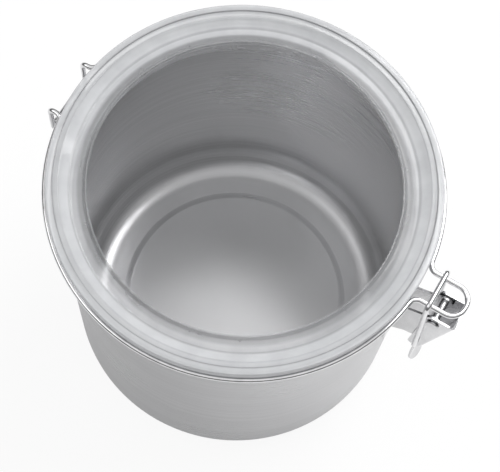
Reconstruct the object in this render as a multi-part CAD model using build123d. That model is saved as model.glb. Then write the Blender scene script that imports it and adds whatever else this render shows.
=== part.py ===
from build123d import *
import os
from math import acos, atan2, cos, hypot, radians, sin, sqrt

os.makedirs("parts", exist_ok=True)

# Storage canister: a drawn steel can, a clear lid that hinges at the back, and a draw latch at the front
# Millimetres, Z up, origin at the middle of the face that the can stands on
# The latch is at -Y, the hinge at +Y, and the hinge axis runs along X

# Can
can_radius = 96.5
can_wall = 0.8
can_height = 176.2
base_corner = 18.8
base_recess = 1.5
standing_ring_width = 7.7
base_step_run = 4.0
curl_radius = 2.0
curl_end_angle = 70.0

# Lid
lid_overhang = 4.5
lid_edge_depth = 9.5
edge_bead_width = 3.8
edge_groove_depth = 0.6
edge_groove_width = 2.8
moat_outside_plug = 0.7
moat_depth = 4.7
window_inside_plug = 7.0
window_depth = 3.0
window_slope_run = 1.5
lid_wall = 3.0
plug_gap = 7.7
plug_wall = 3.5
plug_depth = 20.0
lid_edge_round = 0.6

# Gasket
gasket_thickness = 2.0
gasket_inset = 2.0
gasket_lip_depth = 3.5
gasket_lip_top = 3.0
gasket_lip_tip = 1.8
seal_gap = 0.3

# Lid wire, one wire round the lid with the catch loop in front and the hinge loop behind
wire_diameter = 2.8
wire_drop = 6.9
wire_proud = 0.6
wire_bend = 5.0
catch_half_width = 8.3
catch_reach = 24.4
catch_corner = 7.5
hinge_half_width = 15.5
hinge_reach = 6.4
hinge_drop = 23.0
hinge_bend = 3.0

# Hinge bracket
running_gap = 0.08
side_gap = 0.35
knuckle_end_gap = 0.5
knuckle_wall = 1.2
hinge_plate_half_width = 17.0
hinge_plate_height = 30.0
hinge_plate_drop = 8.0
plate_thickness = 1.2
plate_corner = 4.0

# Latch bracket
ear_thickness = 1.2
latch_plate_half_width = 13.0
latch_plate_top = 26.0
latch_plate_bottom = 76.0
ear_root_top = 34.0
ear_root_bottom = 70.0
ear_belly_radius = 9.0
ear_belly_out = 2.9
ear_belly_drop = 54.0
ear_tip_radius = 4.5

# Lever and its pin
pivot_out = 14.4
pivot_drop = 29.0
pin_diameter = 4.0
pin_head_diameter = 7.0
pin_head_thickness = 0.9
pin_head_round = 0.63
lever_sheet = 1.0
lever_top_drop = 22.0
lever_top_out = 25.4
lever_top_back = 10.4
lever_neck_drop = 72.0
lever_neck_out = 14.9
lever_neck_back = 6.9
lever_crown = 1.6
lever_bail_gap = 0.8
finger_half_width = 6.5
finger_waist_half_width = 5.33
finger_wide_half_width = 7.54
finger_waist_drop = 6.82
finger_wide_drop = 18.6
finger_length = 31.0
finger_dip = 3.0
finger_overlap = 1.0

# Bail
bail_side_gap = 0.5
bail_hook_out = 8.4
bail_hook_gap = 0.3
bail_pivot_out = 11.4
bail_pivot_drop = 64.0
bail_bend_clear = 0.25
bail_foot_length = 4.6

# Heights and radii that follow from the sizes above
base_step_radius = can_radius - base_corner - standing_ring_width - base_step_run
lid_radius = can_radius + lid_overhang
plug_radius = can_radius - can_wall - plug_gap
moat_radius = plug_radius + moat_outside_plug
window_radius = plug_radius - window_inside_plug
gasket_radius = lid_radius - gasket_inset
wire_radius = wire_diameter / 2
lid_underside = can_height + seal_gap + gasket_thickness
lid_top = lid_underside + lid_edge_depth
ring_radius = lid_radius + wire_proud
ring_height = lid_top - wire_drop
hinge_y = ring_radius + hinge_reach
hinge_z = ring_height - hinge_drop
knuckle_half_length = hinge_half_width - hinge_bend - knuckle_end_gap
bail_half_width = catch_half_width + wire_diameter + bail_side_gap
pin_head_outer = bail_half_width - wire_radius - lever_bail_gap
pin_reach = pin_head_outer - pin_head_thickness
lever_half_width = pin_reach - side_gap
lever_inner = lever_half_width - lever_sheet
ear_outer = lever_inner - side_gap
ear_gap_half_width = ear_outer - ear_thickness
bail_bend = bail_half_width - lever_half_width - bail_bend_clear
pivot = (-(ring_radius + pivot_out), lid_top - pivot_drop)
bail_pivot = (-(ring_radius + bail_pivot_out), lid_top - bail_pivot_drop)
bail_hook = (-(ring_radius + bail_hook_out), ring_height + wire_diameter + bail_hook_gap)


def revolved(face_rz):
    """Turn a face drawn as (radius, height) once round the Z axis."""
    return revolve(Plane.XZ * face_rz, Axis.Z, 360)


def side_face(points):
    """Face in the YZ plane from (y, z) points, ready to extrude along X."""
    return Plane.YZ * make_face(Polyline(*points, close=True))


def plate_on_can(half_width, low, high, side):
    """Curved plate that hugs the can, with rounded corners, on side -1 (front) or +1 (back)."""
    outer = can_radius + plate_thickness
    ring = Cylinder(outer, high - low) - Cylinder(can_radius, high - low)
    blank = Rectangle(2 * half_width, high - low)
    blank = fillet(blank.vertices(), min(plate_corner, half_width / 2, (high - low) / 3))
    cutter = extrude(Plane.XZ * blank, -side * 2 * outer)
    return Pos(0, 0, (low + high) / 2) * (ring & cutter)


# Can body, thin sheet with a recessed base, a round bottom corner and a rim curled outwards
def can_section(inset):
    """Filled half section of the can, drawn in by the inset."""
    wall = can_radius - inset
    corner = base_corner - inset
    floor = inset
    recess = base_recess + inset
    foot = can_radius - base_corner
    outline = Polyline(
        (0, can_height - curl_radius),
        (0, recess),
        (base_step_radius, recess),
        (base_step_radius + base_step_run, floor),
        (foot, floor),
    )
    outline += ThreePointArc(
        (foot, floor),
        (foot + corner * sin(radians(45)), base_corner - corner * cos(radians(45))),
        (wall, base_corner),
    )
    outline += Polyline((wall, base_corner), (wall, can_height - curl_radius), (0, can_height - curl_radius))
    return make_face(outline)


curl_centre = can_radius - can_wall + curl_radius
curl_outer = Pos(curl_centre, can_height - curl_radius) * Circle(curl_radius)
curl_inner = Pos(curl_centre, can_height - curl_radius) * Circle(curl_radius - can_wall)
curl_open = Pos(curl_centre, can_height - curl_radius) * Rot(0, 0, 90 - curl_end_angle) * Pos(
    -2 * curl_radius, -2 * curl_radius
) * Rectangle(4 * curl_radius, 4 * curl_radius)
curl_left = Pos(curl_centre - curl_radius, can_height - 2 * curl_radius) * Rectangle(
    2 * curl_radius, 2 * curl_radius
)
curl = curl_outer - curl_inner - curl_open - curl_left
can_body = revolved(can_section(0)) - revolved(can_section(can_wall)) + revolved(curl)
export_step(can_body, "parts/can_body.step")

# Lid, clear moulding with a raised window, a moat round it and a plug wall below
bead_inner = lid_radius - edge_bead_width
groove_inner = bead_inner - edge_groove_width
groove_low = lid_top - edge_groove_depth
window_top = lid_top - window_depth
moat_low = lid_top - moat_depth
slope_foot = window_radius + window_slope_run
plug_inner = plug_radius - plug_wall
wire_seat = ring_radius - wire_radius
lid_section = make_face(
    Polyline(
        (0, window_top),
        (window_radius, window_top),
        (slope_foot, moat_low),
        (moat_radius, moat_low),
        (groove_inner, groove_low),
        (bead_inner, groove_low),
        (bead_inner, lid_top),
        (lid_radius, lid_top),
        (lid_radius, ring_height + wire_radius),
        (wire_seat, ring_height + wire_radius),
        (wire_seat, ring_height - wire_radius),
        (lid_radius, ring_height - wire_radius),
        (lid_radius, lid_underside),
        (plug_radius, lid_underside),
        (plug_radius, lid_top - plug_depth),
        (plug_inner, lid_top - plug_depth),
        (plug_inner, moat_low - lid_wall),
        (slope_foot, moat_low - lid_wall),
        (window_radius, window_top - lid_wall),
        (0, window_top - lid_wall),
        close=True,
    )
)
lid = revolved(lid_section)


def rounded_rings(solid, rings, radius):
    """Round the circular edges of a turned solid that lie at these (radius, height) pairs."""
    edges = [
        edge
        for edge in solid.edges().filter_by(GeomType.CIRCLE)
        if any(hypot(edge.radius - r, edge.arc_center.Z - z) < 0.01 for r, z in rings)
    ]
    return fillet(edges, radius)


lid = rounded_rings(lid, [(bead_inner, lid_top)], edge_groove_depth * 0.4)
lid = rounded_rings(lid, [(lid_radius, lid_top), (lid_radius, lid_underside)], lid_edge_round)
plug_foot = [(plug_radius, lid_top - plug_depth), (plug_inner, lid_top - plug_depth)]
lid = rounded_rings(lid, plug_foot, min(lid_edge_round, plug_wall / 3))
export_step(lid, "parts/lid.step")

# Gasket, a flat silicone ring under the lid's edge with a lip round the plug
gasket = revolved(
    make_face(
        Polyline(
            (plug_radius, lid_underside),
            (gasket_radius, lid_underside),
            (gasket_radius, lid_underside - gasket_thickness),
            (plug_radius + gasket_lip_top, lid_underside - gasket_thickness),
            (plug_radius + gasket_lip_tip, lid_underside - gasket_thickness - gasket_lip_depth),
            (plug_radius, lid_underside - gasket_thickness - gasket_lip_depth),
            close=True,
        )
    )
)
export_step(gasket, "parts/gasket.step")


# Lid wire, swept as one half and mirrored
def bend(centre, start, finish):
    """Arc of less than half a turn about a centre."""
    arm = Vector(*start) - Vector(*centre)
    other = Vector(*finish) - Vector(*centre)
    middle = Vector(*centre) + (arm + other).normalized() * arm.length
    return ThreePointArc(start, middle, finish)


def ring_exit(half_width):
    """Where a bend that leaves the ring for a straight arm starts, turns and ends (front side)."""
    reach = ring_radius + wire_bend
    turn_x = half_width + wire_bend
    turn_y = -sqrt(reach**2 - turn_x**2)
    share = ring_radius / reach
    start = (turn_x * share, turn_y * share, ring_height)
    return start, (turn_x, turn_y, ring_height), (half_width, turn_y, ring_height)


catch_y = -(ring_radius + catch_reach)
ring_start, front_turn, arm_start = ring_exit(catch_half_width)
back_exit = ring_exit(hinge_half_width)
ring_finish, back_turn, ear_start = [(x, -y, z) for x, y, z in back_exit]
loop_corner = min(catch_corner, catch_half_width - 0.5)
loop_flat = catch_half_width - loop_corner
leg_top = (hinge_half_width, hinge_y, ring_height - hinge_bend)
leg_foot = (hinge_half_width, hinge_y, hinge_z + hinge_bend)
foot_in = (hinge_half_width - hinge_bend, hinge_y, hinge_z)
half_wire = Wire(
    [
        Line((0, catch_y, ring_height), (loop_flat, catch_y, ring_height)),
        bend(
            (loop_flat, catch_y + loop_corner, ring_height),
            (loop_flat, catch_y, ring_height),
            (catch_half_width, catch_y + loop_corner, ring_height),
        ),
        Line((catch_half_width, catch_y + loop_corner, ring_height), arm_start),
        bend(front_turn, arm_start, ring_start),
        ThreePointArc(ring_start, (ring_radius, 0, ring_height), ring_finish),
        bend(back_turn, ring_finish, ear_start),
        Line(ear_start, (hinge_half_width, hinge_y - hinge_bend, ring_height)),
        bend(
            (hinge_half_width, hinge_y - hinge_bend, ring_height - hinge_bend),
            (hinge_half_width, hinge_y - hinge_bend, ring_height),
            leg_top,
        ),
        Line(leg_top, leg_foot),
        bend((hinge_half_width - hinge_bend, hinge_y, hinge_z + hinge_bend), leg_foot, foot_in),
        Line(foot_in, (0, hinge_y, hinge_z)),
    ]
)
wire_end = Plane(origin=(0, catch_y, ring_height), z_dir=(1, 0, 0))
half_solid = sweep(wire_end * Circle(wire_radius), path=half_wire)
lid_wire = half_solid + mirror(half_solid, Plane.YZ)
export_step(lid_wire, "parts/lid_wire.step")

# Hinge bracket, a plate on the can whose top edge runs out and curls round the wire
knuckle_bore = wire_radius + running_gap
knuckle_outer = knuckle_bore + knuckle_wall
hinge_plate_high = hinge_z + hinge_plate_drop
hinge_bracket = plate_on_can(
    hinge_plate_half_width, hinge_plate_high - hinge_plate_height, hinge_plate_high, 1
)
web_low = hinge_z - knuckle_outer
web = side_face(
    [
        (can_radius, web_low),
        (hinge_y, web_low),
        (hinge_y, web_low + knuckle_wall),
        (can_radius, web_low + knuckle_wall),
    ]
)
knuckle_axis = Plane(origin=(-knuckle_half_length, hinge_y, hinge_z), z_dir=(1, 0, 0))
knuckle = extrude(knuckle_axis * Circle(knuckle_outer), 2 * knuckle_half_length)
bore = extrude(knuckle_axis * Circle(knuckle_bore), 2 * knuckle_half_length)
web_block = extrude(web, knuckle_half_length, both=True) - Cylinder(can_radius, 4 * can_height)
hinge_bracket = hinge_bracket + web_block + knuckle - bore
export_step(hinge_bracket, "parts/hinge_bracket.step")

# Latch bracket, a plate on the can with two ears that carry the lever pin
latch_plate = plate_on_can(
    latch_plate_half_width, lid_top - latch_plate_bottom, lid_top - latch_plate_top, -1
)
belly = (-(ring_radius + ear_belly_out), lid_top - ear_belly_drop)


def outer_tangent(circle_a, radius_a, circle_b, radius_b, turn):
    """Points where the straight line that touches two circles on one side meets them."""
    along = (circle_b[0] - circle_a[0], circle_b[1] - circle_a[1])
    heading = atan2(along[1], along[0])
    lean = acos((radius_a - radius_b) / hypot(*along))
    angle = heading + turn * lean
    return [
        (centre[0] + radius * cos(angle), centre[1] + radius * sin(angle))
        for centre, radius in ((circle_a, radius_a), (circle_b, radius_b))
    ]


root_y = -(can_radius - can_wall)
tip_top = outer_tangent(belly, ear_belly_radius, pivot, ear_tip_radius, -1)[1]
belly_low, tip_low = outer_tangent(belly, ear_belly_radius, pivot, ear_tip_radius, 1)
ear_blank = [
    (root_y, lid_top - ear_root_top),
    tip_top,
    tip_low,
    belly_low,
    (belly[0], belly[1] - ear_belly_radius),
    (root_y, lid_top - ear_root_bottom),
]
ear = extrude(side_face(ear_blank), ear_thickness)
ear += extrude(Plane.YZ * Pos(*pivot) * Circle(ear_tip_radius), ear_thickness)
ear += extrude(Plane.YZ * Pos(*belly) * Circle(ear_belly_radius), ear_thickness)
ear -= extrude(Plane.YZ * Pos(*pivot) * Circle(pin_diameter / 2), ear_thickness)
ear -= Cylinder(can_radius, 4 * can_height)
latch_bracket = latch_plate + Pos(ear_gap_half_width, 0, 0) * ear + Pos(-ear_outer, 0, 0) * ear
export_step(latch_bracket, "parts/latch_bracket.step")

# Lever pin, riveted over outside the lever's walls
pin_axis = Plane(origin=(0, *pivot), z_dir=(1, 0, 0))
lever_pin = extrude(pin_axis * Circle(pin_diameter / 2), pin_reach, both=True)
for end in (1, -1):
    head = Plane(origin=(end * pin_reach, *pivot), z_dir=(end, 0, 0))
    rivet = extrude(head * Circle(pin_head_diameter / 2), pin_head_thickness)
    rim = rivet.edges().filter_by(GeomType.CIRCLE).sort_by(Axis.X)[-1 if end > 0 else 0]
    lever_pin += fillet(rim, pin_head_round)
export_step(lever_pin, "parts/lever_pin.step")

# Lever, a pressed channel that is deep at the top and runs out into a leaf-shaped finger tab
lever_top_y = -(ring_radius + lever_top_out)
lever_top_z = lid_top - lever_top_drop
neck_y = -(ring_radius + lever_neck_out)
neck_z = lid_top - lever_neck_drop
top_back_y = -(ring_radius + lever_top_back)
neck_back_y = -(ring_radius + lever_neck_back)
finger_tip = (neck_y - lever_sheet, neck_z - finger_length)
finger_mid = (neck_y + finger_dip, neck_z - finger_length / 2)
wedge = side_face(
    [(top_back_y, lever_top_z), (lever_top_y, lever_top_z), (neck_y, neck_z), (neck_back_y, neck_z)]
)
hollow = side_face(
    [
        (neck_back_y + 4 * lever_sheet, neck_z - lever_sheet),
        (top_back_y + 4 * lever_sheet, lever_top_z + lever_sheet),
        (lever_top_y + lever_sheet, lever_top_z + lever_sheet),
        (neck_y + lever_sheet, neck_z - lever_sheet),
    ]
)
channel = extrude(wedge, lever_half_width, both=True)
back_edges = [
    edge
    for edge in channel.edges().filter_by(Axis.X)
    if edge.center().Y > (neck_y + neck_back_y) / 2 - 0.01 or edge.center().Z < neck_z + 0.01
]
back_edges = [edge for edge in back_edges if abs(edge.center().Y - neck_y) > 0.01]
channel = fillet(back_edges, (lever_neck_out - lever_neck_back) / 3)
front_edges = [
    edge
    for edge in channel.edges()
    if abs(edge.center().X) > lever_half_width - 0.01
    and abs(edge.center().Y - (lever_top_y + neck_y) / 2) < 0.01
]
channel = fillet(front_edges, lever_crown)
channel -= extrude(hollow, lever_inner, both=True)
finger_root = (neck_y, neck_z + finger_overlap)


def behind(point):
    """The same point on the inner face of the lever's sheet."""
    return (point[0] + lever_sheet, point[1])


finger_profile = make_face(
    [
        ThreePointArc(finger_root, finger_mid, finger_tip),
        Line(finger_tip, behind(finger_tip)),
        ThreePointArc(behind(finger_root), behind(finger_mid), behind(finger_tip)),
        Line(behind(finger_root), finger_root),
    ]
)
finger_strip = extrude(Plane.YZ * finger_profile, 2 * finger_half_width, both=True)
leaf_top = neck_z + 2 * finger_overlap
leaf_waist_z = neck_z - finger_waist_drop
leaf_wide_z = neck_z - finger_wide_drop
leaf_end = neck_z - finger_length
leaf = make_face(
    [
        Line((-finger_half_width, leaf_top), (finger_half_width, leaf_top)),
        ThreePointArc(
            (finger_half_width, leaf_top),
            (finger_waist_half_width, leaf_waist_z),
            (finger_wide_half_width, leaf_wide_z),
        ),
        ThreePointArc(
            (finger_wide_half_width, leaf_wide_z),
            (0, leaf_end),
            (-finger_wide_half_width, leaf_wide_z),
        ),
        ThreePointArc(
            (-finger_wide_half_width, leaf_wide_z),
            (-finger_waist_half_width, leaf_waist_z),
            (-finger_half_width, leaf_top),
        ),
    ]
)
leaf_block = extrude(Plane.XZ * leaf, 2 * can_radius)
finger = finger_strip & leaf_block
lever = channel + finger
pin_hole = extrude(pin_axis * Circle(pin_diameter / 2 + running_gap), 2 * lever_half_width, both=True)
bail_axis = Plane(origin=(0, *bail_pivot), z_dir=(1, 0, 0))
bail_hole = extrude(bail_axis * Circle(wire_radius + running_gap), 2 * lever_half_width, both=True)
lever = lever - pin_hole - bail_hole
export_step(lever, "parts/lever.step")

# Bail, a bent wire whose crossbar lies over the catch loop and whose feet turn in the lever
foot_x = bail_half_width - bail_foot_length
bail_path = FilletPolyline(
    (foot_x, *bail_pivot),
    (bail_half_width, *bail_pivot),
    (bail_half_width, *bail_hook),
    (-bail_half_width, *bail_hook),
    (-bail_half_width, *bail_pivot),
    (-foot_x, *bail_pivot),
    radius=bail_bend,
)
bail_end = Plane(origin=(foot_x, *bail_pivot), z_dir=(1, 0, 0))
bail = sweep(bail_end * Circle(wire_radius), path=bail_path)
export_step(bail, "parts/bail.step")

print("lid top", lid_top, "hinge axis", hinge_y, hinge_z)
print("lever pivot", pivot, "bail pivot", bail_pivot, "bail crossbar", bail_hook)
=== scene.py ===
# %% [markdown]
# # A steel storage canister with a clear lid
#
# The canister is a drawn steel can under a clear moulded lid. One bent wire runs round the lid. It makes the
# catch loop in front and the hinge loop behind. A bail and a pressed lever pull the loop down.
#
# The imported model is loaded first. It holds every piece at its real size, in metres, with the can
# standing on Z = 0, the latch towards -Y and the hinge towards +Y. The turned pieces are then
# modelled again with finer rings and real rounds, because a curved edge shows every facet. The bent
# and pressed metal keeps its shape.

# %% Load the frame
import bpy
from math import acos, cos, radians, sin, tan
from mathutils import Matrix, Vector


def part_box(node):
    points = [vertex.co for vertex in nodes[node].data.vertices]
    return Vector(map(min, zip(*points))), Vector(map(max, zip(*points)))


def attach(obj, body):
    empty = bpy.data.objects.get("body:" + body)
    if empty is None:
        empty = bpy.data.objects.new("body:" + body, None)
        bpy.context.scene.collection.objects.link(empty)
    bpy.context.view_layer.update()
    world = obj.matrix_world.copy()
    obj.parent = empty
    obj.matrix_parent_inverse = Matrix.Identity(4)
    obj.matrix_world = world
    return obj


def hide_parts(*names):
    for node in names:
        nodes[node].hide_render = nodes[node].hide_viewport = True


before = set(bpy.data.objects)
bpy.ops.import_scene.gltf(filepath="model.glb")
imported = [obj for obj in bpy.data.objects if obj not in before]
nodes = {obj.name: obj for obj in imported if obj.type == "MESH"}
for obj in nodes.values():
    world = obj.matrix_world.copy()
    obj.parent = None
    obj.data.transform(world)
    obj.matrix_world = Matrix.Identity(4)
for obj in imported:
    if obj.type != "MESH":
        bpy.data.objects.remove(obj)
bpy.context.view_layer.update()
scene = bpy.context.scene

# %% [markdown]
# ## Sizes
#
# The script works in millimetres and turns them into metres at the last moment. The can, the lid
# and the gasket are turned round Z, so each is a list of (radius, height, round) corners. Their
# heights, and the outer radii of the lid and the gasket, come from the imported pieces, so that the
# new ones stay in the same place.

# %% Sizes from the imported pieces
MM = 0.001
can_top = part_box("can_body")[1][2] / MM
lid_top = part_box("lid")[1][2] / MM
lid_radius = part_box("lid")[1][0] / MM
gasket_low, gasket_high = (corner[2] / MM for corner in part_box("gasket"))
gasket_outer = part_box("gasket")[1][0] / MM
print("lid top", round(lid_top, 2), "can top", round(can_top, 2), "gasket", round(gasket_low, 2), "up")

# %% [markdown]
# ## A helper for turned pieces
#
# A lathe turns a profile round an axis, and so does this helper. The profile is a list of corners, and a
# corner with a round becomes a short arc of points. A Bevel modifier could round them as well, but here
# each corner states its own radius.

# %% Rounded profiles
round_steps = 4


def corner_arc(before, corner, after, radius):
    """Points of an arc that rounds one corner of a profile."""
    here = Vector(corner)
    back = (Vector(before) - here).normalized()
    ahead = (Vector(after) - here).normalized()
    half_angle = acos(max(-1.0, min(1.0, back.dot(ahead)))) / 2
    reach = radius / tan(half_angle)
    start = here + back * reach
    finish = here + ahead * reach
    centre = here + (back + ahead).normalized() * radius / sin(half_angle)
    points = []
    for step in range(round_steps + 1):
        spoke = (start - centre).lerp(finish - centre, step / round_steps).normalized()
        points.append(tuple(centre + spoke * radius))
    return points


def rounded_profile(corners, closed):
    """Turn (radius, height, round) corners into plain (radius, height) points."""
    points = []
    for index, (r, z, round_size) in enumerate(corners):
        inside = closed or 0 < index < len(corners) - 1
        if round_size and inside:
            before = corners[index - 1][:2]
            after = corners[(index + 1) % len(corners)][:2]
            points += corner_arc(before, (r, z), after, round_size)
        else:
            points.append((r, z))
    return points


print("each round has", round_steps, "steps")

# %% [markdown]
# ### Support rings
#
# A long flat run gets a ring close beside each end, or its smooth shading would bend towards the rounds.
# More rings between them keep its faces from getting long and thin.

# %% Support rings
support_gap = 0.8
long_run = 4 * support_gap
widest_gap = 20.0


def supported(points, closed):
    """Add rings close beside both ends of each long run, and a few between them."""
    rings = []
    for start, finish in zip(points, points[1:] + (points[:1] if closed else [])):
        run = Vector(finish) - Vector(start)
        rings.append(start)
        if run.length > long_run:
            spare = run.length - 2 * support_gap
            steps = max(1, round(spare / widest_gap))
            for step in range(steps + 1):
                along = support_gap + spare * step / steps
                rings.append(tuple(Vector(start) + run.normalized() * along))
    return rings if closed else rings + points[-1:]


print("rings", support_gap, "mm beside each corner of a run longer than", long_run, "mm")

# %% [markdown]
# ### Volume of a mesh
#
# Every triangle and the origin make a tetrahedron with a volume of its own sign, and their sum is the volume
# of the mesh. It is printed for each turned piece, because a shell that is inside out has a negative one,
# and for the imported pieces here, because the turned ones should come close to them.

# %% Volume of a mesh
cubic_centimetre = 1e-6


def piece_volume(piece):
    """Volume of a closed mesh in cubic centimetres, negative if it is inside out."""
    total = 0.0
    piece.data.calc_loop_triangles()
    points = piece.data.vertices
    for triangle in piece.data.loop_triangles:
        a, b, c = (points[index].co for index in triangle.vertices)
        total += a.dot(b.cross(c)) / 6
    return total / cubic_centimetre


for node in ("can_body", "lid", "gasket"):
    print("packed", node, round(piece_volume(nodes[node]), 1), "cubic cm")

# %% [markdown]
# ### Turning the profile
#
# A circle is added at the first point, and each next ring is extruded from the last one, moved up or
# down and scaled to its radius. A disc is closed by merging its last ring into a point, and then the
# open edge that is left, which is its first ring, in the same way. A ring is closed by welding its
# last ring to its first. The screw and spin tools could turn a profile as well, but this way every
# ring has its exact radius and height.

# %% Turned pieces
ring_segments = 256
weld_distance = 1e-6
on_axis = 0.001
smooth_angle = radians(32)


def close_disc():
    """Close the selected ring of edges by a fan of triangles."""
    bpy.ops.mesh.extrude_edges_move()
    bpy.ops.mesh.merge(type="CENTER")
    bpy.ops.mesh.select_all(action="DESELECT")


def turned_piece(name, corners, closed):
    """Model a solid of revolution ring by ring; an open profile starts and ends on the axis."""
    bpy.ops.object.select_all(action="DESELECT")
    profile = supported(rounded_profile(corners, closed), closed)
    rings = [point for point in profile if point[0] > on_axis]
    r, z = rings[0]
    bpy.ops.mesh.primitive_circle_add(
        vertices=ring_segments, radius=r * MM, location=(0, 0, z * MM), fill_type="NOTHING"
    )
    piece = bpy.context.object
    piece.name = name
    bpy.ops.object.transform_apply(location=True, rotation=True, scale=True)
    bpy.ops.object.mode_set(mode="EDIT")
    bpy.ops.mesh.select_mode(type="EDGE")
    bpy.ops.mesh.select_all(action="SELECT")
    for new_r, new_z in rings[1:] + (rings[:1] if closed else []):
        bpy.ops.mesh.extrude_edges_move(TRANSFORM_OT_translate={"value": (0, 0, (new_z - z) * MM)})
        bpy.ops.transform.resize(value=(new_r / r, new_r / r, 1), center_override=(0, 0, 0))
        r, z = new_r, new_z
    if not closed:
        close_disc()
        bpy.ops.mesh.select_non_manifold(
            use_wire=False,
            use_boundary=True,
            use_multi_face=False,
            use_non_contiguous=False,
            use_verts=False,
        )
        close_disc()
    bpy.ops.mesh.select_all(action="SELECT")
    bpy.ops.mesh.remove_doubles(threshold=weld_distance)
    bpy.ops.mesh.normals_make_consistent(inside=False)
    bpy.ops.object.mode_set(mode="OBJECT")
    bpy.ops.object.shade_smooth_by_angle(angle=smooth_angle)
    print(name, len(piece.data.polygons), "faces", round(piece_volume(piece), 1), "cubic cm")
    return piece


# %% [markdown]
# ## The can
#
# The can is one sheet of steel, 0.8 mm thick. Its rim is curled outwards so that no cut edge is left
# for a hand to meet, and its base is pressed in a little so that it stands on a ring and doesn't
# rock. The profile goes out along the underside, up the wall, round the curl, and back down the
# inside. A thin shell with a Solidify modifier would be quicker, but its curl and its pressed base
# would be harder to hold to their sizes.

# %% Can body
can_radius = 96.5
can_wall = 0.8
base_corner = 18.8
base_recess = 1.5
base_step_radius = 66.0
base_step_run = 4.0
base_round = 1.2
curl_radius = 2.0
curl_end_angle = 70.0
corner_steps = 12
inner_curl_steps = 14
outer_curl_steps = 18


def arc_points(centre, radius, first_degrees, last_degrees, steps):
    """Points along an arc of a profile."""
    span = last_degrees - first_degrees
    angles = [radians(first_degrees + span * step / steps) for step in range(steps + 1)]
    return [(centre[0] + radius * cos(angle), centre[1] + radius * sin(angle), 0) for angle in angles]


curl_centre = (can_radius - can_wall + curl_radius, can_top - curl_radius)
corner_centre = (can_radius - base_corner, base_corner)
can_corners = [
    (0, base_recess, 0),
    (base_step_radius, base_recess, base_round),
    (base_step_radius + base_step_run, 0, base_round),
]
can_corners += arc_points(corner_centre, base_corner, -90, 0, corner_steps)
can_corners += arc_points(curl_centre, curl_radius - can_wall, 180, -curl_end_angle, inner_curl_steps)
can_corners += arc_points(curl_centre, curl_radius, -curl_end_angle, 180, outer_curl_steps)
can_corners += arc_points(corner_centre, base_corner - can_wall, 0, -90, corner_steps)
can_corners += [
    (base_step_radius + base_step_run, can_wall, base_round),
    (base_step_radius, base_recess + can_wall, base_round),
    (0, base_recess + can_wall, 0),
]
can_shell = turned_piece("can_shell", can_corners, closed=False)
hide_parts("can_body")
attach(can_shell, "can")

# %% [markdown]
# ## The lid
#
# The lid is moulded in clear plastic. Its window is raised in the middle of a shallow moat. The thick edge
# has a bead on top, a groove beside it and a seat for the wire in its side. The plug wall under it keeps the
# lid central in the can. Clear plastic shows both its faces, so the inside is modelled as carefully. The lid
# could be cut from discs with booleans, but one profile gives clean rings of faces and even rounds.

# %% Lid
edge_bead_width = 3.8
edge_groove_depth = 0.6
edge_groove_width = 2.8
moat_radius = 88.7
moat_depth = 4.7
window_radius = 81.0
window_depth = 3.0
window_slope_run = 1.5
lid_wall = 3.0
plug_radius = 88.0
plug_wall = 3.5
plug_depth = 20.0
wire_drop = 6.9
wire_seat = 100.1
wire_radius = 1.4

bead_inner = lid_radius - edge_bead_width
groove_inner = bead_inner - edge_groove_width
groove_low = lid_top - edge_groove_depth
window_top = lid_top - window_depth
moat_low = lid_top - moat_depth
slope_foot = window_radius + window_slope_run
plug_inner = plug_radius - plug_wall
ring_height = lid_top - wire_drop
lid_corners = [
    (0, window_top, 0),
    (window_radius, window_top, 0.6),
    (slope_foot, moat_low, 0.8),
    (moat_radius, moat_low, 2.0),
    (groove_inner, groove_low, 0.9),
    (bead_inner, groove_low, 0.2),
    (bead_inner, lid_top, 0.35),
    (lid_radius, lid_top, 0.9),
    (lid_radius, ring_height + wire_radius, 0.25),
    (wire_seat, ring_height + wire_radius, 0.15),
    (wire_seat, ring_height - wire_radius, 0.15),
    (lid_radius, ring_height - wire_radius, 0.25),
    (lid_radius, gasket_high, 0.5),
    (plug_radius, gasket_high, 0.3),
    (plug_radius, lid_top - plug_depth, 0.8),
    (plug_inner, lid_top - plug_depth, 0.8),
    (plug_inner, moat_low - lid_wall, 0.8),
    (slope_foot, moat_low - lid_wall, 0.6),
    (window_radius, window_top - lid_wall, 0.8),
    (0, window_top - lid_wall, 0),
]
lid_clear = turned_piece("lid_clear", lid_corners, closed=False)
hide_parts("lid")
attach(lid_clear, "lid")

# %% [markdown]
# ## The gasket
#
# A silicone ring lies under the lid's edge, where it meets the curled rim, and a soft lip runs down the
# plug. It is seen through the clear edge of the lid as a milky band. A torus would do for a plain ring, but
# it has no lip, so this is a closed profile. A hair's gap keeps it off the lid, because two faces in the
# same place shimmer in a render.

# %% Gasket
gasket_gap = 0.05
gasket_thickness = 2.0
lip_root_width = 3.0
lip_tip_width = 1.8
gasket_flat = gasket_high - gasket_thickness
gasket_inner = plug_radius + gasket_gap
gasket_top = gasket_high - gasket_gap
gasket_corners = [
    (gasket_inner, gasket_top, 0),
    (gasket_outer, gasket_top, 0.4),
    (gasket_outer, gasket_flat, 0.6),
    (plug_radius + lip_root_width, gasket_flat, 0.8),
    (plug_radius + lip_tip_width, gasket_low, 0.5),
    (gasket_inner, gasket_low, 0),
]
gasket_ring = turned_piece("gasket_ring", gasket_corners, closed=True)
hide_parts("gasket")
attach(gasket_ring, "lid")

# %% [markdown]
# ## Finishes
#
# Each finish is a small node network. Its pattern is noise on Object coordinates, so that it stays on the
# piece when that moves. An image could give more detail, but noise has no seam, needs no file and never
# repeats. Stretched far in one direction, it makes scratches.

# %% Materials and noise
def new_finish(name):
    """A material, its node tree and the Principled shader in it."""
    finish = bpy.data.materials.new(name)
    finish.use_nodes = True
    tree = finish.node_tree
    return finish, tree, tree.nodes["Principled BSDF"]


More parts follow.
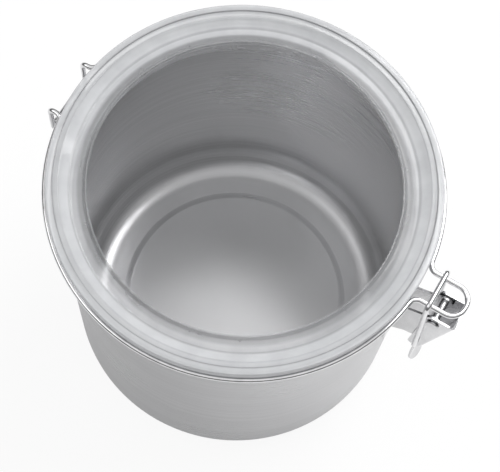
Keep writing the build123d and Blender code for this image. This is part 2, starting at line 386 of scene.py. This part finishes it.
def stretched_noise(tree, stretch, detail):
    """Noise on Object coordinates in metres, stretched by a scale along X, Y and Z."""
    place = tree.nodes.new("ShaderNodeTexCoord")
    mapping = tree.nodes.new("ShaderNodeMapping")
    mapping.inputs["Scale"].default_value = stretch
    noise = tree.nodes.new("ShaderNodeTexNoise")
    noise.inputs["Scale"].default_value = 1.0
    noise.inputs["Detail"].default_value = detail
    tree.links.new(place.outputs["Object"], mapping.inputs["Vector"])
    tree.links.new(mapping.outputs["Vector"], noise.inputs["Vector"])
    return noise.outputs["Fac"]


# %% [markdown]
# A pattern can drive a number, a colour or small bumps. Noise keeps near its middle value, so only that part
# of it is spread over the range.

# %% What a pattern drives
noise_low, noise_high = 0.3, 0.7
tone_low, tone_high = 0.35, 0.65


def between(tree, factor, low, high):
    """Map a pattern onto a range of values."""
    span = tree.nodes.new("ShaderNodeMapRange")
    span.inputs["From Min"].default_value = noise_low
    span.inputs["From Max"].default_value = noise_high
    span.inputs["To Min"].default_value = low
    span.inputs["To Max"].default_value = high
    tree.links.new(factor, span.inputs["Value"])
    return span.outputs["Result"]


def colour_ramp(tree, factor, stops):
    """Turn a value into colours; stops are (position, colour) pairs in rising order."""
    ramp = tree.nodes.new("ShaderNodeValToRGB")
    elements = ramp.color_ramp.elements
    for position, _ in stops[1:-1]:
        elements.new(position)
    for element, (position, colour) in zip(elements, stops):
        element.position = position
        element.color = (*colour, 1)
    tree.links.new(factor, ramp.inputs["Fac"])
    return ramp.outputs["Color"]


def two_tone(tree, factor, dark, light):
    """Mix two colours by a pattern."""
    return colour_ramp(tree, factor, ((tone_low, dark), (tone_high, light)))


def grey(level, blue=0.0):
    """A grey, with a trace more blue where one is given."""
    return level, level, level + blue


def small_bumps(tree, shader, factor, height, strength):
    """Raise the surface by a pattern, by a height in metres."""
    bump = tree.nodes.new("ShaderNodeBump")
    bump.inputs["Strength"].default_value = strength
    bump.inputs["Distance"].default_value = height
    tree.links.new(factor, bump.inputs["Height"])
    tree.links.new(bump.outputs["Normal"], shader.inputs["Normal"])


print("numbers take noise from", noise_low, "to", noise_high, "and tones from", tone_low, "to", tone_high)

# %% [markdown]
# Two values are added, divided or compared in several places. Each time that takes a Math node, whose inputs
# are either set to a number or linked, so one helper does both.

# %% Sums of two values
def maths(tree, operation, first, second):
    """A Math node; each of its two inputs is the output of another node or a plain number."""
    node = tree.nodes.new("ShaderNodeMath")
    node.operation = operation
    for socket, given in zip(node.inputs, (first, second)):
        if isinstance(given, float):
            socket.default_value = given
        else:
            tree.links.new(given, socket)
    return node.outputs["Value"]


# %% [markdown]
# ### Brushed steel
#
# The can is brushed while it turns, so the scratches run round it. Noise that is very fine along Z and very
# long across it looks just like that on the wall. Soft, wide noise varies the roughness as handling does. An
# anisotropic shader could do this too, but the plain noise still shows its lines from close by.

# %% Brushed steel
steel_blue = 0.01


def brushed_steel():
    """Steel with fine scratches round the can and a soft haze of handling."""
    finish, tree, shader = new_finish("brushed_steel")
    scratches = stretched_noise(tree, (3, 3, 900), 3.0)
    haze = stretched_noise(tree, (14, 14, 9), 2.0)
    colour = two_tone(tree, scratches, grey(0.45, steel_blue), grey(0.54, steel_blue))
    rough = maths(tree, "ADD", between(tree, scratches, 0.22, 0.28), between(tree, haze, 0.02, 0.10))
    tree.links.new(colour, shader.inputs["Base Color"])
    tree.links.new(rough, shader.inputs["Roughness"])
    shader.inputs["Metallic"].default_value = 1.0
    return finish


finishes = {"brushed_steel": brushed_steel()}
print("finishes", list(finishes))

# %% [markdown]
# ### Clear lid
#
# The lid's plastic is nearly colourless, with a faint haze of wear in its roughness. It could be made with
# refraction, but lamps reach through refracting plastic only by chance, and the can below would need many
# more samples. Here each place lets a share of the light straight through instead: nearly all in the window,
# and less where the lid is thick. The dark lines that refraction and reflection draw at the steps of the
# mould are painted shade in the plastic's colour. Both that share and the painted shade follow the distance
# from the axis, so that the dark lines lie on the steps of the mould.

# %% Pattern of rings
ring_scale = 120.0


def ring_pattern(tree, stops):
    """A grey that follows the distance from the Z axis; stops are (radius in mm, level) pairs."""
    place = tree.nodes.new("ShaderNodeTexCoord")
    flat = tree.nodes.new("ShaderNodeVectorMath")
    flat.operation = "MULTIPLY"
    flat.inputs[1].default_value = (1, 1, 0)
    distance = tree.nodes.new("ShaderNodeVectorMath")
    distance.operation = "LENGTH"
    tree.links.new(place.outputs["Object"], flat.inputs[0])
    tree.links.new(flat.outputs["Vector"], distance.inputs[0])
    share = maths(tree, "DIVIDE", distance.outputs["Value"], ring_scale * MM)
    return colour_ramp(tree, share, [(radius / ring_scale, grey(level)) for radius, level in stops])


print("ring pattern out to", ring_scale, "mm")

# %% [markdown]
# Two tables go outwards from the axis. The first says how solid the plastic looks. It rises at the steps,
# so that the painted shade there shows. The second is painted shade: what the plastic's colour is multiplied
# by, dark where refraction and reflection would darken the steps, and at the outer edge. The steps at the
# window, the moat, the groove and the bead each have their own stops.

# %% Rings of the lid
ring_bodies = (
    (0, 0.05),
    (window_radius - 0.8, 0.05),
    (window_radius - 0.3, 0.55),
    (window_radius + 0.3, 0.55),
    (slope_foot, 0.48),
    (moat_radius - 4.2, 0.46),
    (moat_radius - 2.7, 0.40),
    (moat_radius - 0.6, 0.44),
    (moat_radius, 0.60),
    (groove_inner - 0.5, 0.52),
    (groove_inner, 0.72),
    (groove_inner + 0.6, 0.52),
    (bead_inner - 0.6, 0.55),
    (bead_inner, 0.85),
    (bead_inner + 0.8, 0.55),
    (lid_radius - 0.7, 0.58),
    (lid_radius, 0.80),
)
painted_ring_shades = (
    (0, 1.0),
    (window_radius - 0.8, 0.95),
    (window_radius - 0.2, 0.30),
    (window_radius + 0.5, 0.44),
    (slope_foot, 0.50),
    (moat_radius - 4.2, 0.56),
    (moat_radius - 2.7, 1.0),
    (moat_radius - 0.6, 0.92),
    (moat_radius, 0.50),
    (moat_radius + 1.3, 0.90),
    (groove_inner - 0.5, 0.94),
    (groove_inner, 0.50),
    (groove_inner + 0.6, 0.84),
    (bead_inner - 0.6, 0.80),
    (bead_inner, 0.28),
    (bead_inner + 0.8, 0.86),
    (lid_radius - 0.7, 0.92),
    (lid_radius, 0.55),
)
print("stops for the body", len(ring_bodies), "and for the shade", len(painted_ring_shades))

# %% [markdown]
# Fine noise stands for wear: it varies the tone a little and the roughness between clean and
# handled plastic.

# %% Clear plastic
def clear_plastic():
    """Clear plastic, more solid where it is thick (little in the window, more in the edge), with painted
    shade on its steps.
    """
    finish, tree, shader = new_finish("clear_lid")
    wear = stretched_noise(tree, (90, 90, 90), 3.0)
    # tone multiplies the worn tone of the plastic by the painted shade of the rings, which darkens the steps
    # of the mould.
    tone = tree.nodes.new("ShaderNodeVectorMath")
    tone.operation = "MULTIPLY"
    tree.links.new(two_tone(tree, wear, (0.74, 0.75, 0.77), (0.82, 0.83, 0.85)), tone.inputs[0])
    tree.links.new(ring_pattern(tree, painted_ring_shades), tone.inputs[1])
    tree.links.new(tone.outputs["Vector"], shader.inputs["Base Color"])
    tree.links.new(between(tree, wear, 0.02, 0.07), shader.inputs["Roughness"])
    tree.links.new(ring_pattern(tree, ring_bodies), shader.inputs["Alpha"])
    shader.inputs["IOR"].default_value = 1.49
    return finish


finishes["clear_lid"] = clear_plastic()
print("finishes", list(finishes))

# %% [markdown]
# ### Silicone
#
# Silicone is cloudy and has a soft sheen. Light scattering below its surface could be added, but the gasket
# is seen through the lid only, so a little noise in its colour and roughness is enough.

# %% Silicone
def milky_silicone():
    """Pale, cloudy rubber with a soft sheen."""
    finish, tree, shader = new_finish("silicone")
    cloud = stretched_noise(tree, (120, 120, 120), 3.0)
    colour = two_tone(tree, cloud, (0.74, 0.75, 0.76), (0.84, 0.85, 0.86))
    tree.links.new(colour, shader.inputs["Base Color"])
    tree.links.new(between(tree, cloud, 0.38, 0.52), shader.inputs["Roughness"])
    small_bumps(tree, shader, cloud, 0.00005, 0.2)
    return finish


finishes["silicone"] = milky_silicone()
print("finishes", list(finishes))

# %% [markdown]
# ### Chrome and polished steel
#
# The wire and the lever are bright chrome, and the brackets are polished steel. They differ in tone, in
# smoothness and in the faint waviness of pressed sheet, so one function makes all three. A plain mirror
# would look drawn, so the waves and smears break up what the metal mirrors.

# %% Bright metal
wave_strength = 0.25
bright_looks = {
    "chrome_wire": {"tones": (0.70, 0.80), "roughness": (0.04, 0.10), "wave_height": 0.0001},
    "chrome_press": {"tones": (0.60, 0.70), "roughness": (0.05, 0.14), "wave_height": 0.0004},
    "polished_steel": {"tones": (0.54, 0.64), "roughness": (0.12, 0.26), "wave_height": 0.0003},
}


def bright_metal(name, tones, roughness, wave_height):
    """Chrome or polished steel: a smooth metal with faint waves and smears."""
    finish, tree, shader = new_finish(name)
    smears = stretched_noise(tree, (160, 160, 60), 4.0)
    waves = stretched_noise(tree, (70, 70, 70), 1.0)
    dark, light = (grey(tone, steel_blue) for tone in tones)
    tree.links.new(two_tone(tree, smears, dark, light), shader.inputs["Base Color"])
    tree.links.new(between(tree, smears, *roughness), shader.inputs["Roughness"])
    shader.inputs["Metallic"].default_value = 1.0
    small_bumps(tree, shader, waves, wave_height, wave_strength)
    return finish


for name, look in bright_looks.items():
    finishes[name] = bright_metal(name, **look)
print("finishes", list(finishes))

# %% [markdown]
# ### Put the finishes on
#
# A turned piece has no material yet, so its finish is added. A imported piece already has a
# slot, and its finish is set there.

# %% Finishes on the pieces
turned_finishes = ((can_shell, "brushed_steel"), (lid_clear, "clear_lid"), (gasket_ring, "silicone"))
for piece, finish_name in turned_finishes:
    piece.data.materials.append(finishes[finish_name])
node_finishes = {
    "lid_wire": "chrome_wire",
    "bail": "chrome_wire",
    "lever": "chrome_press",
    "lever_pin": "polished_steel",
    "latch_bracket": "polished_steel",
    "hinge_bracket": "polished_steel",
}
for node, finish_name in node_finishes.items():
    for material_slot in nodes[node].material_slots:
        material_slot.material = finishes[finish_name]
print("finished", len(turned_finishes), "turned and", len(node_finishes), "packed pieces")

# %% [markdown]
# ## Floor, light and background
#
# The canister stands on a pale floor against plain white. That white could come from more light, but then
# the canister would burn out too. Light Path tells the rays apart instead, so the camera and clear parts see
# white, whatever light falls on the canister. A small share of that white is added in reflections.

# %% Rays that see the background
glossy_share = 0.15


def background_ray(tree):
    """1 for camera and transmission rays, and a small share for glossy ones."""
    rays = tree.nodes.new("ShaderNodeLightPath")
    glossy = maths(tree, "MULTIPLY", rays.outputs["Is Glossy Ray"], glossy_share)
    straight = maths(tree, "MAXIMUM", rays.outputs["Is Camera Ray"], rays.outputs["Is Transmission Ray"])
    return maths(tree, "MAXIMUM", straight, glossy)


def mixed(tree, factor, first, second):
    """Two shaders mixed by a factor, where 0 gives the first."""
    mix = tree.nodes.new("ShaderNodeMixShader")
    for source, socket in zip((factor, first, second), mix.inputs):
        tree.links.new(source, socket)
    return mix.outputs["Shader"]


print("white in reflections", glossy_share)

# %% [markdown]
# ### Floor
#
# The floor is one wide disc. Its own pale surface takes the shadow, and the rest of what the camera sees of
# it is the background's white, so that it nearly runs into the background.

# %% Floor
floor_radius = 1.6
floor_sides = 96
floor_white_share = 0.9
bpy.ops.object.select_all(action="DESELECT")
bpy.ops.mesh.primitive_circle_add(
    vertices=floor_sides, radius=floor_radius, location=(0, 0, 0), fill_type="NGON"
)
floor = bpy.context.object
floor.name = "floor"
floor_finish, floor_tree, floor_shader = new_finish("pale_floor")
floor_shader.inputs["Base Color"].default_value = (*grey(0.90), 1)
floor_shader.inputs["Roughness"].default_value = 0.8
floor_shader.inputs["Specular IOR Level"].default_value = 0.1
white = floor_tree.nodes.new("ShaderNodeEmission")
white.inputs["Color"].default_value = (*grey(1.0), 1)
white_share = maths(floor_tree, "MULTIPLY", background_ray(floor_tree), floor_white_share)
floor_look = mixed(floor_tree, white_share, floor_shader.outputs["BSDF"], white.outputs["Emission"])
floor_tree.links.new(floor_look, floor_tree.nodes["Material Output"].inputs["Surface"])
floor.data.materials.append(floor_finish)
print("floor", floor_radius, "m")

# %% [markdown]
# ### Sky
#
# Light falls evenly from the whole sky. The sky that the metal mirrors has a dark band above the horizon,
# because bright metal under an even white sky has nothing to show its shape by. Camera rays see plain white.

# %% World
even_level = 0.62
mirror_level = 0.9
white_level = 1.0
band_stops = ((0.0, 0.04), (0.30, 0.02), (0.58, 0.04), (0.70, 1.0), (1.0, 0.95))


def plain_sky(tree, strength):
    """A white sky of one strength."""
    sky = tree.nodes.new("ShaderNodeBackground")
    sky.inputs["Color"].default_value = (*grey(1.0), 1)
    sky.inputs["Strength"].default_value = strength
    return sky.outputs["Background"]


world = bpy.data.worlds.new("studio")
scene.world = world
world.use_nodes = True
sky_tree = world.node_tree
direction = sky_tree.nodes.new("ShaderNodeTexCoord")
split = sky_tree.nodes.new("ShaderNodeSeparateXYZ")
sky_tree.links.new(direction.outputs["Generated"], split.inputs["Vector"])
bands = colour_ramp(sky_tree, split.outputs["Z"], [(height, grey(level)) for height, level in band_stops])
mirrored_sky = sky_tree.nodes["Background"]
sky_tree.links.new(bands, mirrored_sky.inputs["Color"])
mirrored_sky.inputs["Strength"].default_value = mirror_level
mirror_ray = sky_tree.nodes.new("ShaderNodeLightPath").outputs["Is Glossy Ray"]
even_sky = plain_sky(sky_tree, even_level)
lit_sky = mixed(sky_tree, mirror_ray, even_sky, mirrored_sky.outputs["Background"])
whole_sky = mixed(sky_tree, background_ray(sky_tree), lit_sky, plain_sky(sky_tree, white_level))
sky_tree.links.new(whole_sky, sky_tree.nodes["World Output"].inputs["Surface"])
print("even sky", even_level, "mirrored bands", band_stops)

# %% [markdown]
# ### Lamps
#
# A large soft lamp stands on the right of the picture, where the latch is, and leaves the left of the can
# darker, which shows that it is round. A weak one on the left keeps that side from going dull. Both aim at
# the middle of the lid. The sun would give harder shadows than a room does.

# %% Lamps
lid_centre = Vector((0, 0, lid_top * MM))


def soft_lamp(name, place, size, power):
    """A square softbox at a place, turned towards the middle of the lid."""
    bpy.ops.object.light_add(type="AREA", location=place)
    lamp = bpy.context.object
    lamp.name = name
    lamp.data.shape = "SQUARE"
    lamp.data.size = size
    lamp.data.energy = power
    lamp.rotation_euler = (lid_centre - Vector(place)).to_track_quat("-Z", "Y").to_euler()
    print(name, size, "m wide", power, "W")


soft_lamp("key_light", place=(0.72, -0.31, 1.1), size=0.9, power=13)
soft_lamp("fill_light", place=(-0.5, 0.75, 1.1), size=0.8, power=2)

# %% [markdown]
# ## Camera
#
# The photograph looks down at the lid from the left of the latch. The camera's place comes from a fit of the
# lid's rings and the can's sides: a distance from the middle of the lid, an elevation, a bearing round Z, a
# small roll, and how far to the left of that middle and below it the line of sight passes. The bearing is
# the way from the can to the camera, measured from +X.

# %% Camera
photo_width, photo_height = 500, 472
sensor_width = 36
focal_pixels = 1336.7
principal_x, principal_y = 229.3, 237.8
camera_distance = 672.3
camera_elevation = radians(69.5)
camera_bearing = radians(-153.47)
camera_roll = radians(-4.33)
sight_left, sight_below = 8.22, 29.05
nearest_seen = 0.01

level = cos(camera_elevation)
back = Vector((level * cos(camera_bearing), level * sin(camera_bearing), sin(camera_elevation)))
flat_right = Vector((-sin(camera_bearing), cos(camera_bearing), 0))
flat_up = back.cross(flat_right)
right = cos(camera_roll) * flat_right - sin(camera_roll) * flat_up
up = sin(camera_roll) * flat_right + cos(camera_roll) * flat_up
eye = Vector((0, 0, lid_top)) + camera_distance * back - sight_left * right - sight_below * up
bpy.ops.object.camera_add()
camera = bpy.context.object
camera.matrix_world = Matrix.Translation(eye * MM) @ Matrix((right, up, back)).transposed().to_4x4()
camera.data.sensor_width = sensor_width
camera.data.lens = focal_pixels / photo_width * sensor_width
camera.data.shift_x = (photo_width / 2 - principal_x) / photo_width
camera.data.shift_y = (principal_y - photo_height / 2) / photo_width
camera.data.clip_start = nearest_seen
scene.camera = camera
scene.view_settings.view_transform = "Standard"
print("camera at", [round(value, 3) for value in eye * MM])
